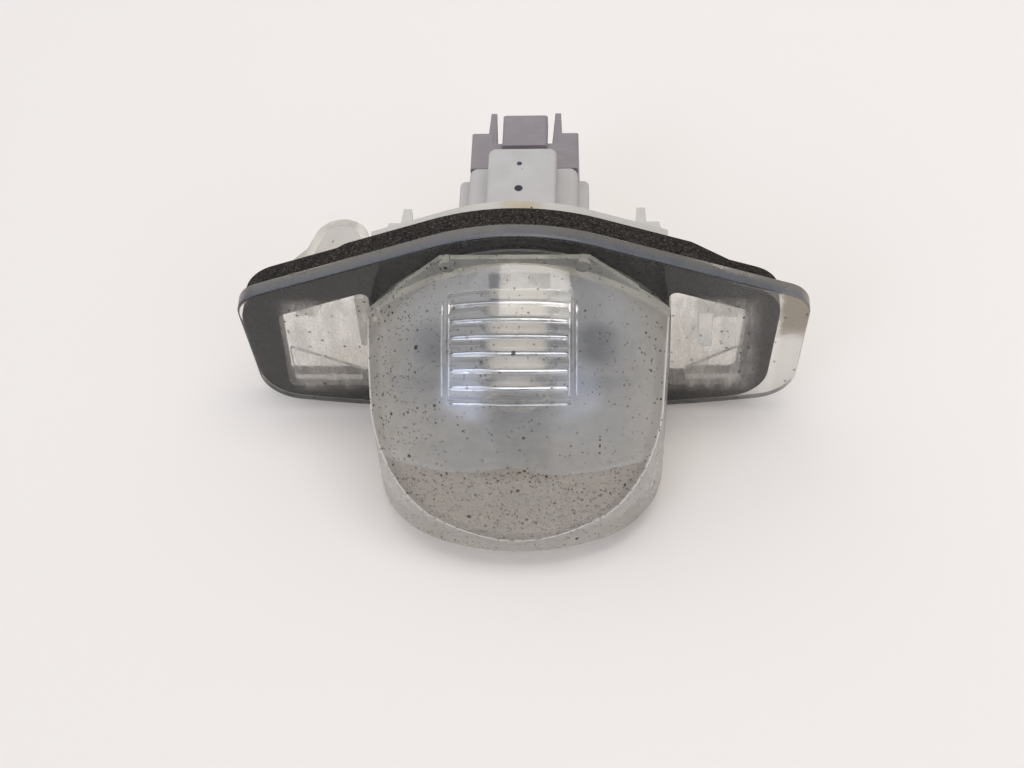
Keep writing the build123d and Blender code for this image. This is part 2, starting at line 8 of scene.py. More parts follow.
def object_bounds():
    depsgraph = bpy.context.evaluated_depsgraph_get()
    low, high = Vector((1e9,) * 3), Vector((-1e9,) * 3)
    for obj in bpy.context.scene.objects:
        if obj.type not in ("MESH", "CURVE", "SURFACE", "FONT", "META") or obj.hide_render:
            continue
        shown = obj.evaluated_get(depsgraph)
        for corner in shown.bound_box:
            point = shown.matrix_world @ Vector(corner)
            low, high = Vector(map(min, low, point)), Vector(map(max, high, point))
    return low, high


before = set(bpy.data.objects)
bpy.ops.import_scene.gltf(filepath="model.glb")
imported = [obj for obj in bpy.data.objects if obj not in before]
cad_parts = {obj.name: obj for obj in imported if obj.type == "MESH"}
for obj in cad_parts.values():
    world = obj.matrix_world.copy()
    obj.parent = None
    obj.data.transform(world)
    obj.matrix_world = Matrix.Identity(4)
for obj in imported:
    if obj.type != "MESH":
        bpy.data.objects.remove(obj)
cad_low, cad_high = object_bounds()

# Number plate lamp: the looks of each piece, the light, the floor and the camera.
# The scene is in metres in the part's own frame. Materials measure places in millimetres.
MM = 0.001

# Places on the lens, in millimetres. A pair is where a change starts and where it is complete.
flange_rear_depth = 2.8
flange_front_depth = 4.8
behind_flange_y = (-2.5, -2.0)
flange_edge_turn = -3.8
flange_edge_blur = 0.5
# Past the gasket's end, high up, the flange is yellowed and darkened: partly the plastic's tint, partly
# painted shade.
flange_tint_and_shade_x = 33.9
flange_tint_and_shade_x_blur = 0.6
flange_tint_and_shade_z = -1.8
flange_tint_and_shade_z_blur = 1.4
flange_tint_and_shade_wobble = 0.8
flange_window_inner_x = 19.5
flange_window_outer_x = 31.0
flange_window_high_z = 5.5
flange_window_low_z = -13.0
flange_window_blur = 1.0
collar_front_depth = 6.2
collar_fade = 0.6
dome_middle = (0.0, -14.0, -4.0)
dome_underside_z = (-14.3, -14.48)
dome_floor_z = -12.5
dome_floor_dust_z = (-11.9, -12.4)
dome_side_x = (9.0, 18.0)
dome_left_x = (-6.0, -16.0)
# A painted highlight lies along the crease where the crown meets the walls, fading away from it.
crease_highlight_attribute = "painted_crease_highlight"
crease_highlight_fade = 3.0
crease_highlight_reach = (0.84, 1.0)
# A wavy line across the crown's front; below it, tan dust and a painted reflection of the ground.
dust_and_reflection_line_z = -1.3
dust_and_reflection_line_blur = (-0.15, 0.2)
dust_and_reflection_line_fall = 0.16
dust_and_reflection_line_middle = -0.7
dust_and_reflection_line_wave = 0.12
dust_and_reflection_line_span = 13.2

# Places on the other pieces, in millimetres
boss_dot_places = ((-0.35, 12.8, 8.0), (-0.37, 17.35, 8.0))
boss_dot_radii = (0.5, 0.3)
boss_dot_blur = 0.12
# The holder is painted paler in the case and the socket: painted light on its shaded inside.
case_back_y = 3.3
socket_back_y = 9.9
socket_radius = 6.5
painted_light_blur = 0.3
stain_place = (0.6, 4.7, 14.0)
stain_radius = 1.2
stain_fade = 2.4
# Two dark patches inside the case, one each side of the bulb: painted shade.
shade_patch_places = ((-13.0, 2.0, -11.5), (10.2, 2.0, -11.5))
shade_patch_radius = 1.5
shade_patch_fade = 3.0
case_inside_x = 17.0
case_inside_z = 15.0
case_middle = (0.0, -1.0, 0.0)
# A painted highlight along the bulb's top, and a thin pale film by the socket.
bulb_highlight_z = (2.5, 4.0)
bulb_bloom_y = (-5.5, -2.5)

# How the faces of the lens are told apart: part of a normal along an axis, and millimetres from a plane
facing = 0.9
edge_facing = 0.8
wall_facing = 0.01
above_flange = 0.05
on_dome_floor = 0.1

# Optical values
plastic_ior = 1.58
glass_ior = 1.5
coat_ior = 1.5

# Camera, in millimetres and degrees
camera_place = (13.26, -165.83, 197.41)
camera_aim = (-1.17, -8.85, -6.72)
camera_roll = -4.245
camera_lens = 68.34
camera_sensor = 36.0
camera_clip = (0.01, 10.0)

# Floor and light, in metres. The sky's places are parts of a unit vector.
floor_reach = 1.2
floor_colour = (0.985, 0.94, 0.9, 1)
sky_high = (0.85, 0.87, 0.92, 1)
sky_low = (0.42, 0.42, 0.42, 1)
sky_rise = (0.05, 0.55)
sky_strength = 0.65
sky_glow = (1.5, 1.5, 1.5, 1)
sky_glow_way = (-0.5, 0.45, 0.74)
sky_glow_reach = (0.8, 0.2)
sky_front = (-0.25, -0.6)
sky_dim = (0.05, 0.05, 0.05, 1)
sky_dim_share = 0.9
sky_dim_aside = (0.3, 0.12)
sky_dim_up = (0.85, 0.6)
sky_panel = (3.0, 3.4, 4.5, 1)
sky_panel_inner = (0.26, 0.42)
sky_panel_outer = (0.72, 0.58)
sky_panel_low = (0.4, 0.5)
sky_panel_high = (0.8, 0.68)
sky_panel_lean = (0.3, -0.3)
sky_panel_right_share = 0.45
window_strength = 1.2
window_colour = (1.0, 0.93, 0.84)
window_width = 0.44
window_depth = 0.3
window_place = (0.1, 0.03, 0.6)

# Sockets of a Mix node that is set to colour. The node repeats their names for each kind of data.
mix_share, mix_first, mix_second, mix_result = 0, 6, 7, 2


class Recipe:
    """A node tree in the making. Numbers, colours and other nodes' outputs are put into inputs by name."""

    def __init__(self, tree):
        self.tree = tree

    def put(self, socket, value):
        if isinstance(value, bpy.types.NodeSocket):
            self.tree.links.new(value, socket)
        else:
            socket.default_value = value

    def node(self, kind, inputs=None, **settings):
        made = self.tree.nodes.new(kind)
        for name, value in settings.items():
            setattr(made, name, value)
        for name, value in (inputs or {}).items():
            self.put(made.inputs[name], value)
        return made

    def work(self, operation, *values):
        made = self.node("ShaderNodeMath", operation=operation)
        for socket, value in zip(made.inputs, values):
            self.put(socket, value)
        return made.outputs[0]

    def product(self, first, *others):
        """All the values multiplied together."""
        for value in others:
            first = self.work("MULTIPLY", first, value)
        return first

    def total(self, *weighted):
        """The sum of values, each with its own weight."""
        result = 0.0
        for value, weight in weighted:
            result = self.work("MULTIPLY_ADD", value, weight, result)
        return result

    def between(self, share, low, high):
        """A straight change from low, where share is 0, to high, where it is 1."""
        return self.work("MULTIPLY_ADD", share, high - low, low)

    def vector(self, operation, first, second):
        made = self.node("ShaderNodeVectorMath", operation=operation)
        self.put(made.inputs[0], first)
        self.put(made.inputs[1], second)
        return made.outputs["Value" if operation == "DISTANCE" else "Vector"]

    def blend(self, share, first, second):
        """The first colour where share is 0, and the second where it is 1."""
        made = self.node("ShaderNodeMix", data_type="RGBA")
        self.put(made.inputs[mix_share], share)
        self.put(made.inputs[mix_first], first)
        self.put(made.inputs[mix_second], second)
        return made.outputs[mix_result]

    def ease(self, value, start, end, low=0.0, high=1.0):
        """A smooth change from low to high while value goes from start to end."""
        made = self.node("ShaderNodeMapRange", interpolation_type="SMOOTHSTEP")
        for socket, setting in zip(made.inputs, (value, start, end, low, high)):
            self.put(socket, setting)
        return made.outputs[0]

    def past(self, value, limit, blur):
        """1 past a limit and 0 before it, changing over blur on either side."""
        return self.ease(value, limit - blur, limit + blur)

    def before(self, value, limit, blur):
        """1 before a limit and 0 past it, changing over blur on either side."""
        return self.ease(value, limit + blur, limit - blur)

    def within(self, value, low, high, blur):
        """1 between two limits and 0 outside them, changing over blur on either side of each."""
        return self.product(self.past(value, low, blur), self.before(value, high, blur))

    def noise(self, place, scale, detail=3.0, roughness=0.55):
        inputs = {"Vector": place, "Scale": scale, "Detail": detail, "Roughness": roughness}
        return self.node("ShaderNodeTexNoise", inputs).outputs[0]

    def clouds(self, place, scale, start, end, detail=5.0, roughness=0.6):
        """Soft patches: noise drawn out to run from 0 at one of its levels to 1 at another."""
        return self.ease(self.noise(place, scale, detail, roughness), start, end)


def shared_effect(name, output, **inputs):
    """Starts a node group with a place and number inputs; returns it, its recipe, inputs and outputs."""
    group = bpy.data.node_groups.new(name, "ShaderNodeTree")
    group.interface.new_socket("Place", in_out="INPUT", socket_type="NodeSocketVector")
    for label, value in inputs.items():
        socket = group.interface.new_socket(label, in_out="INPUT", socket_type="NodeSocketFloat")
        socket.default_value = value
    group.interface.new_socket(output, in_out="OUTPUT", socket_type="NodeSocketFloat")
    start = group.nodes.new("NodeGroupInput")
    end = group.nodes.new("NodeGroupOutput")
    return group, Recipe(group), start.outputs, end.inputs


def make_mottle():
    """Slow uneven patches, as old plastic has."""
    group, recipe, given, result = shared_effect("mottle", "Value", Scale=0.2, Contrast=1.0)
    coarse = recipe.noise(given["Place"], given["Scale"], detail=5.0, roughness=0.6)
    away = recipe.work("SUBTRACT", coarse, 0.5)
    spread = recipe.work("MULTIPLY_ADD", away, given["Contrast"], 0.5)
    recipe.put(result["Value"], recipe.ease(spread, 0.0, 1.0))
    return group


def make_specks():
    """Scattered small specks of uneven size; Share is the part of the cells that hold one."""
    group, recipe, given, result = shared_effect("specks", "Mask", Scale=1.0, Size=0.2, Share=0.3)
    wobble = recipe.noise(given["Place"], recipe.product(given["Scale"], 2.5), detail=2.0)
    cells = recipe.node("ShaderNodeTexVoronoi", {"Vector": given["Place"], "Scale": given["Scale"]})
    parts = recipe.node("ShaderNodeSeparateColor", {"Color": cells.outputs["Color"]})
    chance, bulk = parts.outputs[0], parts.outputs[1]
    chosen = recipe.work("LESS_THAN", chance, given["Share"])
    reach = recipe.product(given["Size"], recipe.between(bulk, 0.3, 1.2))
    uneven = recipe.product(reach, recipe.between(wobble, 0.4, 1.6))
    inside = recipe.ease(cells.outputs["Distance"], uneven, recipe.product(uneven, 0.6))
    recipe.put(result["Mask"], recipe.product(inside, chosen))
    return group


def make_scratches():
    """Fine long scuffs along X; Share is how many of them show."""
    group, recipe, given, result = shared_effect("scratches", "Mask", Scale=0.6, Share=0.25)
    bend = recipe.noise(given["Place"], 0.25, detail=2.0)
    drawn = recipe.vector("MULTIPLY", given["Place"], (0.12, 1.0, 1.0))
    shift = recipe.node("ShaderNodeCombineXYZ", {"X": 0.0, "Y": bend, "Z": bend})
    moved = recipe.vector("ADD", drawn, shift.outputs[0])
    edges = recipe.node(
        "ShaderNodeTexVoronoi",
        {"Vector": moved, "Scale": given["Scale"]},
        feature="DISTANCE_TO_EDGE",
    )
    line = recipe.ease(edges.outputs["Distance"], 0.03, 0.0)
    patch = recipe.noise(given["Place"], 0.35, detail=2.0)
    shown = recipe.ease(patch, recipe.work("SUBTRACT", 0.75, given["Share"]), 0.85)
    recipe.put(result["Mask"], recipe.product(line, shown))
    return group


def make_grain():
    """Fine moulded skin over a slower wave."""
    group, recipe, given, result = shared_effect("moulded_grain", "Height", Scale=4.0)
    fine = recipe.noise(given["Place"], given["Scale"], detail=4.0, roughness=0.65)
    broad = recipe.noise(given["Place"], recipe.product(given["Scale"], 0.15), detail=2.0)
    recipe.put(result["Height"], recipe.work("MULTIPLY_ADD", broad, 0.5, fine))
    return group


def make_dust():
    """Patchy settled dust that gathers where two noises agree."""
    group, recipe, given, result = shared_effect("settled_dust", "Mask", Scale=0.3, Amount=0.5)
    place, scale = given["Place"], given["Scale"]
    broad = recipe.clouds(place, scale, 0.35, 0.75, detail=4.0, roughness=0.65)
    fine = recipe.clouds(place, recipe.product(scale, 14.0), 0.3, 0.7, detail=3.0, roughness=0.7)
    recipe.put(result["Mask"], recipe.product(broad, fine, given["Amount"]))
    return group


mottle = make_mottle()
specks = make_specks()
scratches = make_scratches()
moulded_grain = make_grain()
settled_dust = make_dust()


class Finish(Recipe):
    """A material with one surface shader and places measured in millimetres in the part's frame."""

    def __init__(self, name):
        self.material = bpy.data.materials.new(name)
        self.material.use_nodes = True
        super().__init__(self.material.node_tree)
        self.tree.nodes.clear()
        self.out = self.node("ShaderNodeOutputMaterial")
        self.surface = self.node("ShaderNodeBsdfPrincipled")
        self.show(self.surface.outputs[0])
        where = self.node("ShaderNodeTexCoord").outputs["Object"]
        self.place = self.vector("MULTIPLY", where, (1 / MM, 1 / MM, 1 / MM))
        split = self.node("ShaderNodeSeparateXYZ", {"Vector": self.place})
        self.x, self.y, self.z = split.outputs

    def show(self, look):
        """Makes a shader's output the material's look."""
        self.look = look
        self.put(self.out.inputs["Surface"], look)

    def effect(self, group, **values):
        made = self.node("ShaderNodeGroup", node_tree=group)
        self.put(made.inputs["Place"], self.place)
        for name, value in values.items():
            self.put(made.inputs[name], value)
        return made.outputs[0]

    def near(self, place, radius, softness):
        """1 within radius of a place, falling to 0 over softness."""
        return self.ease(self.vector("DISTANCE", self.place, place), radius + softness, radius)

    def set(self, **values):
        """Sets inputs of the surface shader; an underscore stands for the space in a name."""
        for name, value in values.items():
            self.put(self.surface.inputs[name.replace("_", " ")], value)

    def grain(self, scale, depth_mm, strength):
        """Gives the surface the moulded skin as a bump."""
        self.bump(self.effect(moulded_grain, Scale=scale), depth_mm, strength)

    def bump(self, height, depth_mm, strength):
        inputs = {"Strength": strength, "Distance": depth_mm * MM, "Height": height}
        self.set(Normal=self.node("ShaderNodeBump", inputs).outputs[0])

    def mix_in(self, share, shader):
        """Lays another shader over the look so far; share is how much of that it takes away."""
        mixed = self.node("ShaderNodeMixShader")
        for socket, value in zip(mixed.inputs, (share, self.look, shader.outputs[0])):
            self.put(socket, value)
        self.show(mixed.outputs[0])

    def cover_with_dull_film(self, share, colour):
        """Lays a dull film over the clear surface, dust in some finishes and painted light in others; share
        is how much of the surface it hides.
        """
        inputs = {"Base Color": colour, "Roughness": 0.85, "Specular IOR Level": 0.2}
        self.mix_in(share, self.node("ShaderNodeBsdfPrincipled", inputs))

    def let_lamps_through(self, share, tint):
        """Shadow rays pass a clear piece, as light does."""
        path = self.node("ShaderNodeLightPath")
        clear = self.node("ShaderNodeBsdfTransparent", {"Color": tint})
        self.mix_in(self.product(path.outputs["Is Shadow Ray"], share), clear)


def clear_flange_finish():
    """Clear plastic of flange and snap features: scuffed, dusty over the windows, yellowed at one end with
    painted shade there as well.
    """
    finish = Finish("clear_flange")
    across = finish.work("ABSOLUTE", finish.x)
    beside_dome = finish.within(
        across, flange_window_inner_x, flange_window_outer_x, flange_window_blur
    )
    in_height = finish.within(
        finish.z, flange_window_low_z, flange_window_high_z, flange_window_blur
    )
    behind = finish.ease(finish.y, *behind_flange_y)
    on_flange = finish.work("SUBTRACT", 1.0, behind)
    window = finish.product(beside_dome, in_height, on_flange)
    drawn = finish.vector("MULTIPLY", finish.place, (1.0, 1.0, 0.3))
    streaked = finish.product(window, finish.clouds(drawn, 0.55, 0.35, 0.7, roughness=0.65))
    scoured = finish.ease(finish.x, flange_window_inner_x, flange_window_outer_x)
    # Yellowed upper part of the flange's end: partly the plastic's tint, partly painted shade.
    wobble = finish.between(
        finish.noise(finish.place, 0.5), -flange_tint_and_shade_wobble, flange_tint_and_shade_wobble
    )
    along, upward = (finish.work("ADD", axis, wobble) for axis in (finish.x, finish.z))
    past_gasket = finish.past(along, flange_tint_and_shade_x, flange_tint_and_shade_x_blur)
    above_clear = finish.past(upward, flange_tint_and_shade_z, flange_tint_and_shade_z_blur)
    yellowed = finish.product(past_gasket, above_clear)
    dust = finish.effect(settled_dust, Scale=0.22, Amount=0.4)
    scuffs = finish.effect(scratches, Scale=0.7, Share=0.2)
    dirt = finish.effect(specks, Scale=1.1, Size=0.26, Share=0.14)

    clear, yellow = (0.94, 0.94, 0.92, 1), (0.7, 0.63, 0.5, 1)
    dull, brown = (0.8, 0.77, 0.71, 1), (0.1, 0.08, 0.06, 1)
    aged = finish.blend(finish.product(yellowed, 0.6), clear, yellow)
    finish.set(Base_Color=finish.blend(dirt, finish.blend(dust, aged, dull), brown))
    worn = finish.between(scuffs, 0.04, 0.29)
    finish.set(Roughness=finish.work("MULTIPLY_ADD", dust, 0.3, worn))
    finish.set(Transmission_Weight=1.0, IOR=plastic_ior)
    finish.grain(0.6, depth_mm=0.02, strength=0.4)

    hidden = finish.total(
        (1.0, 0.025),
        (window, 0.1),
        (streaked, 0.36),
        (yellowed, 0.35),
        (past_gasket, 0.1),
        (behind, 0.25),
        (scoured, 0.06),
    )
    # Behind the flange the film is near white: painted light that makes the snap features there read pale.
    in_front, painted_light_at_back = (0.74, 0.69, 0.62, 1), (0.98, 0.93, 0.87, 1)
    tan, dark = (0.34, 0.29, 0.22, 1), (0.08, 0.06, 0.045, 1)
    powder = finish.blend(yellowed, finish.blend(behind, in_front, painted_light_at_back), tan)
    finish.cover_with_dull_film(hidden, finish.blend(dirt, powder, dark))
    finish.let_lamps_through(0.9, (0.93, 0.93, 0.91, 1))
    return finish.material


def flange_edge_finish():
    """The flange's outer edge, rubbed dull all round: warm by the gasket, and bluish in front with a
    painted reflection of the sky.
    """
    finish = Finish("rubbed_edge_and_sky_sheen")
    rubbed = finish.effect(mottle, Scale=0.3, Contrast=1.8)
    scuffs = finish.effect(scratches, Scale=0.9, Share=0.35)
    # The bluish tones in front are a painted reflection of the sky.
    front = finish.before(finish.y, flange_edge_turn, flange_edge_blur)
    dull = finish.blend(front, (0.52, 0.485, 0.435, 1), (0.38, 0.4, 0.46, 1))
    pale = finish.blend(front, (0.64, 0.6, 0.54, 1), (0.5, 0.51, 0.55, 1))
    tone = finish.blend(rubbed, dull, pale)
    bare = (0.9, 0.88, 0.84, 1)
    finish.set(Base_Color=finish.blend(finish.product(scuffs, 0.6), tone, bare))
    finish.set(Roughness=finish.between(rubbed, 0.22, 0.37))
    finish.set(Transmission_Weight=0.75, IOR=plastic_ior)
    finish.grain(1.2, depth_mm=0.03, strength=0.5)
    finish.let_lamps_through(0.7, (0.9, 0.9, 0.88, 1))
    return finish.material


def peppered(finish, share):
    """Masks of small and of large specks; share is the part of the places that hold one."""
    fine = finish.effect(specks, Scale=3.2, Size=0.52, Share=share)
    middling = finish.effect(specks, Scale=1.7, Size=0.34, Share=finish.product(share, 0.65))
    large = finish.effect(specks, Scale=0.8, Size=0.26, Share=finish.product(share, 0.5))
    return finish.work("MAXIMUM", finish.product(fine, 0.8), middling), large


def dotted(finish, pepper, tone, brown, black):
    """A tone with small brown specks and large black ones on it."""
    small, large = pepper
    return finish.blend(large, finish.blend(small, tone, brown), black)


def hazed_dome_finish():
    """The crown's outside after years on the road: grey film, tan dust with a painted reflection of the
    ground below a wavy line, and a painted highlight along the crease.
    """
    finish = Finish("hazed_dome")
    off_middle = finish.work("SUBTRACT", finish.x, dust_and_reflection_line_middle)
    wave = finish.work("COSINE", finish.product(off_middle, 2 * math.pi / dust_and_reflection_line_span))
    fall = finish.work("ABSOLUTE", off_middle)
    line = finish.total((1.0, dust_and_reflection_line_z), (wave, dust_and_reflection_line_wave), (fall, -dust_and_reflection_line_fall))
    # Below the wavy line the crown is tan: partly dust, partly a painted reflection of the ground.
    low_front = finish.ease(finish.work("SUBTRACT", line, finish.z), *dust_and_reflection_line_blur)
    sides = finish.ease(finish.work("ABSOLUTE", finish.x), *dome_side_x)
    left = finish.ease(finish.x, *dome_left_x)
    dusty_and_reflecting = finish.work("MAXIMUM", low_front, finish.product(left, 0.5))
    depth = finish.product(finish.y, -1.0)
    collar = finish.ease(depth, collar_front_depth + collar_fade, collar_front_depth)
    # Painted highlight: a pale film near the crease, from a mark that is 1 on the crease and fades away
    # from it.
    rubbed = finish.node("ShaderNodeAttribute", attribute_name=crease_highlight_attribute).outputs["Fac"]
    crease = finish.ease(rubbed, *crease_highlight_reach)
    cloudy = finish.clouds(finish.place, 0.13, 0.3, 0.7)
    powdery = finish.clouds(finish.place, 2.2, 0.35, 0.65, detail=4.0, roughness=0.7)
    pepper = peppered(finish, finish.between(dusty_and_reflecting, 0.1, 0.5))
    black = (0.02, 0.016, 0.012, 1)

    tone = finish.blend(dusty_and_reflecting, (0.95, 0.96, 0.97, 1), (0.95, 0.92, 0.87, 1))
    yellowed = finish.blend(collar, tone, (0.93, 0.91, 0.8, 1))
    finish.set(Base_Color=dotted(finish, pepper, yellowed, (0.1, 0.07, 0.05, 1), black))
    finish.set(Roughness=finish.total((1.0, 0.05), (cloudy, 0.05), (crease, 0.3)))
    finish.set(Transmission_Weight=1.0, IOR=plastic_ior)
    finish.set(Coat_Weight=1.0, Coat_Roughness=0.06, Coat_IOR=coat_ior)
    finish.grain(0.8, depth_mm=0.015, strength=0.25)

    patchy = finish.product(low_front, powdery)
    film = finish.total((1.0, 0.1), (cloudy, 0.12), (sides, 0.24), (collar, 0.16))
    hidden = finish.total((film, 1.0), (low_front, 0.24), (patchy, 0.1), (crease, 0.5))
    aside = finish.blend(sides, (0.54, 0.56, 0.6, 1), (0.66, 0.61, 0.54, 1))
    powder = finish.blend(low_front, aside, (0.36, 0.32, 0.28, 1))
    aged = finish.blend(collar, powder, (0.7, 0.68, 0.6, 1))
    # The pale colour at the crease is a painted highlight, not wear.
    worn = finish.blend(crease, aged, (0.85, 0.83, 0.78, 1))
    finish.cover_with_dull_film(hidden, dotted(finish, pepper, worn, (0.08, 0.055, 0.04, 1), black))
    finish.let_lamps_through(0.95, (0.95, 0.95, 0.94, 1))
    return finish.material


def dome_wall_finish():
    """The dome's upright walls and underside, frosted by grit from the road."""
    finish = Finish("frosted_wall")
    cloudy = finish.clouds(finish.place, 0.16, 0.3, 0.7)
    underside = finish.ease(finish.z, *dome_underside_z)
    pepper = peppered(finish, 0.15)
    black = (0.03, 0.024, 0.018, 1)

    tone = finish.blend(cloudy, (0.92, 0.91, 0.88, 1), (0.85, 0.83, 0.78, 1))
    finish.set(Base_Color=dotted(finish, pepper, tone, (0.12, 0.09, 0.06, 1), black))
    finish.set(Roughness=finish.between(cloudy, 0.2, 0.35))
    finish.set(Transmission_Weight=1.0, IOR=plastic_ior)
    finish.grain(1.0, depth_mm=0.03, strength=0.4)

    hidden = finish.total((1.0, 0.34), (cloudy, 0.16), (underside, 0.3))
    powder = finish.blend(cloudy, (0.68, 0.655, 0.625, 1), (0.58, 0.545, 0.5, 1))
    finish.cover_with_dull_film(hidden, dotted(finish, pepper, powder, (0.1, 0.07, 0.05, 1), black))
    finish.let_lamps_through(0.12, (0.92, 0.92, 0.9, 1))
    return finish.material


def dome_inside_finish():
    """The dome's inner faces and the flutes: clean, but for dust that has settled on the dome's floor."""
    finish = Finish("dome_inside")
    film = finish.effect(mottle, Scale=0.2, Contrast=1.4)
    settled = finish.ease(finish.z, *dome_floor_dust_z)
    drifts = finish.clouds(finish.place, 0.18, 0.3, 0.7, detail=4.0)
    finish.set(Base_Color=finish.blend(film, (0.98, 0.98, 0.97, 1), (0.93, 0.93, 0.91, 1)))
    finish.set(Roughness=finish.between(film, 0.07, 0.13))
    finish.set(Transmission_Weight=1.0, IOR=plastic_ior)
    finish.grain(0.7, depth_mm=0.01, strength=0.3)
    hidden = finish.product(settled, finish.between(drifts, 0.45, 0.7))
    powder = finish.blend(drifts, (0.5, 0.5, 0.5, 1), (0.57, 0.55, 0.52, 1))
    finish.cover_with_dull_film(hidden, powder)
    finish.let_lamps_through(0.95, (0.96, 0.96, 0.95, 1))
    return finish.material


def foam_finish():
    """Black open-cell foam with brown dust in its pores."""
    finish = Finish("foam")
    cells = finish.node("ShaderNodeTexVoronoi", {"Vector": finish.place, "Scale": 2.2})
    pores = finish.ease(cells.outputs["Distance"], 0.1, 0.55)
    dust = finish.effect(settled_dust, Scale=0.25, Amount=0.9)
    grit = finish.effect(specks, Scale=4.2, Size=0.55, Share=0.5)
    tone = finish.blend(pores, (0.009, 0.008, 0.0075, 1), (0.03, 0.026, 0.023, 1))
    dusty = finish.blend(dust, tone, (0.046, 0.037, 0.03, 1))
    finish.set(Base_Color=finish.blend(grit, dusty, (0.1, 0.088, 0.08, 1)))
    finish.set(Roughness=finish.between(pores, 0.86, 0.96), Specular_IOR_Level=0.25)
    height = finish.work("MULTIPLY_ADD", finish.noise(finish.place, 3.0), 0.6, pores)
    finish.bump(height, depth_mm=0.25, strength=0.9)
    return finish.material


def housing_finish(name, dull, pale, shade_patch_share):
    """Cream-grey plastic with a yellowed stain on its upper edge, and two patches of painted shade low
    down, as strong as the share given.
    """
    finish = Finish(name)
    uneven = finish.effect(mottle, Scale=0.15, Contrast=1.4)
    dust = finish.effect(settled_dust, Scale=0.3, Amount=0.5)
    dirt = finish.effect(specks, Scale=1.1, Size=0.16, Share=0.14)
    tone = finish.blend(uneven, dull, pale)
    stained_edge = finish.near(stain_place, stain_radius, stain_fade)
    stain = finish.product(stained_edge, finish.noise(finish.place, 0.9))
    stained = finish.blend(stain, tone, (0.5, 0.37, 0.16, 1))
    dusty = finish.blend(dust, stained, (0.42, 0.38, 0.32, 1))
    # Painted shade: dark patches on the case's inside, one each side of the bulb.
    left, right = (finish.near(place, shade_patch_radius, shade_patch_fade) for place in shade_patch_places)
    painted_shade_patches = finish.product(finish.work("MAXIMUM", left, right), shade_patch_share)
    dark = finish.blend(painted_shade_patches, dusty, (0.1, 0.09, 0.08, 1))
    finish.set(Base_Color=finish.blend(dirt, dark, (0.06, 0.05, 0.04, 1)))
    finish.set(Roughness=finish.between(uneven, 0.42, 0.62))
    finish.grain(3.0, depth_mm=0.02, strength=0.6)
    return finish.material


def holder_finish():
    """Light grey plastic, paler in the case and the socket as painted light, with two small dark dots on
    top of the boss.
    """
    finish = Finish("holder_plastic")
    uneven = finish.effect(mottle, Scale=0.2, Contrast=1.2)
    dust = finish.effect(settled_dust, Scale=0.35, Amount=0.4)
    dirt = finish.effect(specks, Scale=1.2, Size=0.14, Share=0.1)
    outer = finish.blend(uneven, (0.51, 0.495, 0.485, 1), (0.585, 0.57, 0.56, 1))
    flattened = finish.vector("MULTIPLY", finish.place, (1.0, 0.0, 1.0))
    off_axis = finish.vector("DISTANCE", flattened, (0.0, 0.0, 0.0))
    # Paler in the case and the socket: painted light on the shaded inside.
    in_socket = finish.product(
        finish.before(finish.y, socket_back_y, painted_light_blur),
        finish.before(off_axis, socket_radius, painted_light_blur),
    )
    in_case = finish.before(finish.y, case_back_y, painted_light_blur)
    painted_light_inside = finish.work("MAXIMUM", in_socket, in_case)
    tone = finish.blend(painted_light_inside, outer, (0.84, 0.81, 0.77, 1))
    dusty = finish.blend(dust, tone, (0.4, 0.37, 0.33, 1))
    marked = finish.blend(dirt, dusty, (0.1, 0.085, 0.07, 1))
    first, second = (
        finish.near(place, radius, boss_dot_blur)
        for place, radius in zip(boss_dot_places, boss_dot_radii)
    )
    one_dot = finish.blend(first, marked, (0.02, 0.022, 0.035, 1))
    finish.set(Base_Color=finish.blend(second, one_dot, (0.03, 0.045, 0.08, 1)))
    finish.set(Roughness=finish.between(uneven, 0.4, 0.58))
    finish.grain(3.5, depth_mm=0.02, strength=0.6)
    return finish.material


def shroud_finish():
    """Mauve-grey plastic of the plug shroud."""
    finish = Finish("shroud_plastic")
    uneven = finish.effect(mottle, Scale=0.22, Contrast=1.3)
    dust = finish.effect(settled_dust, Scale=0.4, Amount=0.5)
    scuffs = finish.effect(scratches, Scale=0.9, Share=0.3)
    tone = finish.blend(uneven, (0.25, 0.225, 0.245, 1), (0.31, 0.285, 0.3, 1))
    worn = finish.blend(finish.product(scuffs, 0.6), tone, (0.45, 0.43, 0.44, 1))
    finish.set(Base_Color=finish.blend(dust, worn, (0.36, 0.33, 0.3, 1)))
    finish.set(Roughness=finish.between(uneven, 0.42, 0.62))
    finish.grain(3.5, depth_mm=0.02, strength=0.6)
    return finish.material


def seal_finish():
    """Black rubber of the seal ring."""
    finish = Finish("seal_rubber")
    uneven = finish.effect(mottle, Scale=0.5, Contrast=1.2)
    dust = finish.effect(settled_dust, Scale=0.6, Amount=0.5)
    tone = finish.blend(uneven, (0.016, 0.016, 0.016, 1), (0.03, 0.029, 0.028, 1))
    finish.set(Base_Color=finish.blend(dust, tone, (0.1, 0.09, 0.075, 1)))
    finish.set(Roughness=finish.between(uneven, 0.6, 0.8))
    finish.grain(4.0, depth_mm=0.015, strength=0.5)
    return finish.material


def metal_finish(name, bright, dull, roughness):
    """Bare metal with a dull film in patches and fine scuffs."""
    finish = Finish(name)
    film = finish.effect(mottle, Scale=0.9, Contrast=2.0)
    scuffs = finish.effect(scratches, Scale=2.0, Share=0.4)
    tone = finish.blend(film, bright, dull)
    finish.set(Base_Color=finish.blend(finish.product(scuffs, 0.5), tone, bright))
    finish.set(Roughness=finish.between(film, roughness, roughness + 0.2), Metallic=1.0)
    finish.grain(6.0, depth_mm=0.006, strength=0.5)
    return finish.material


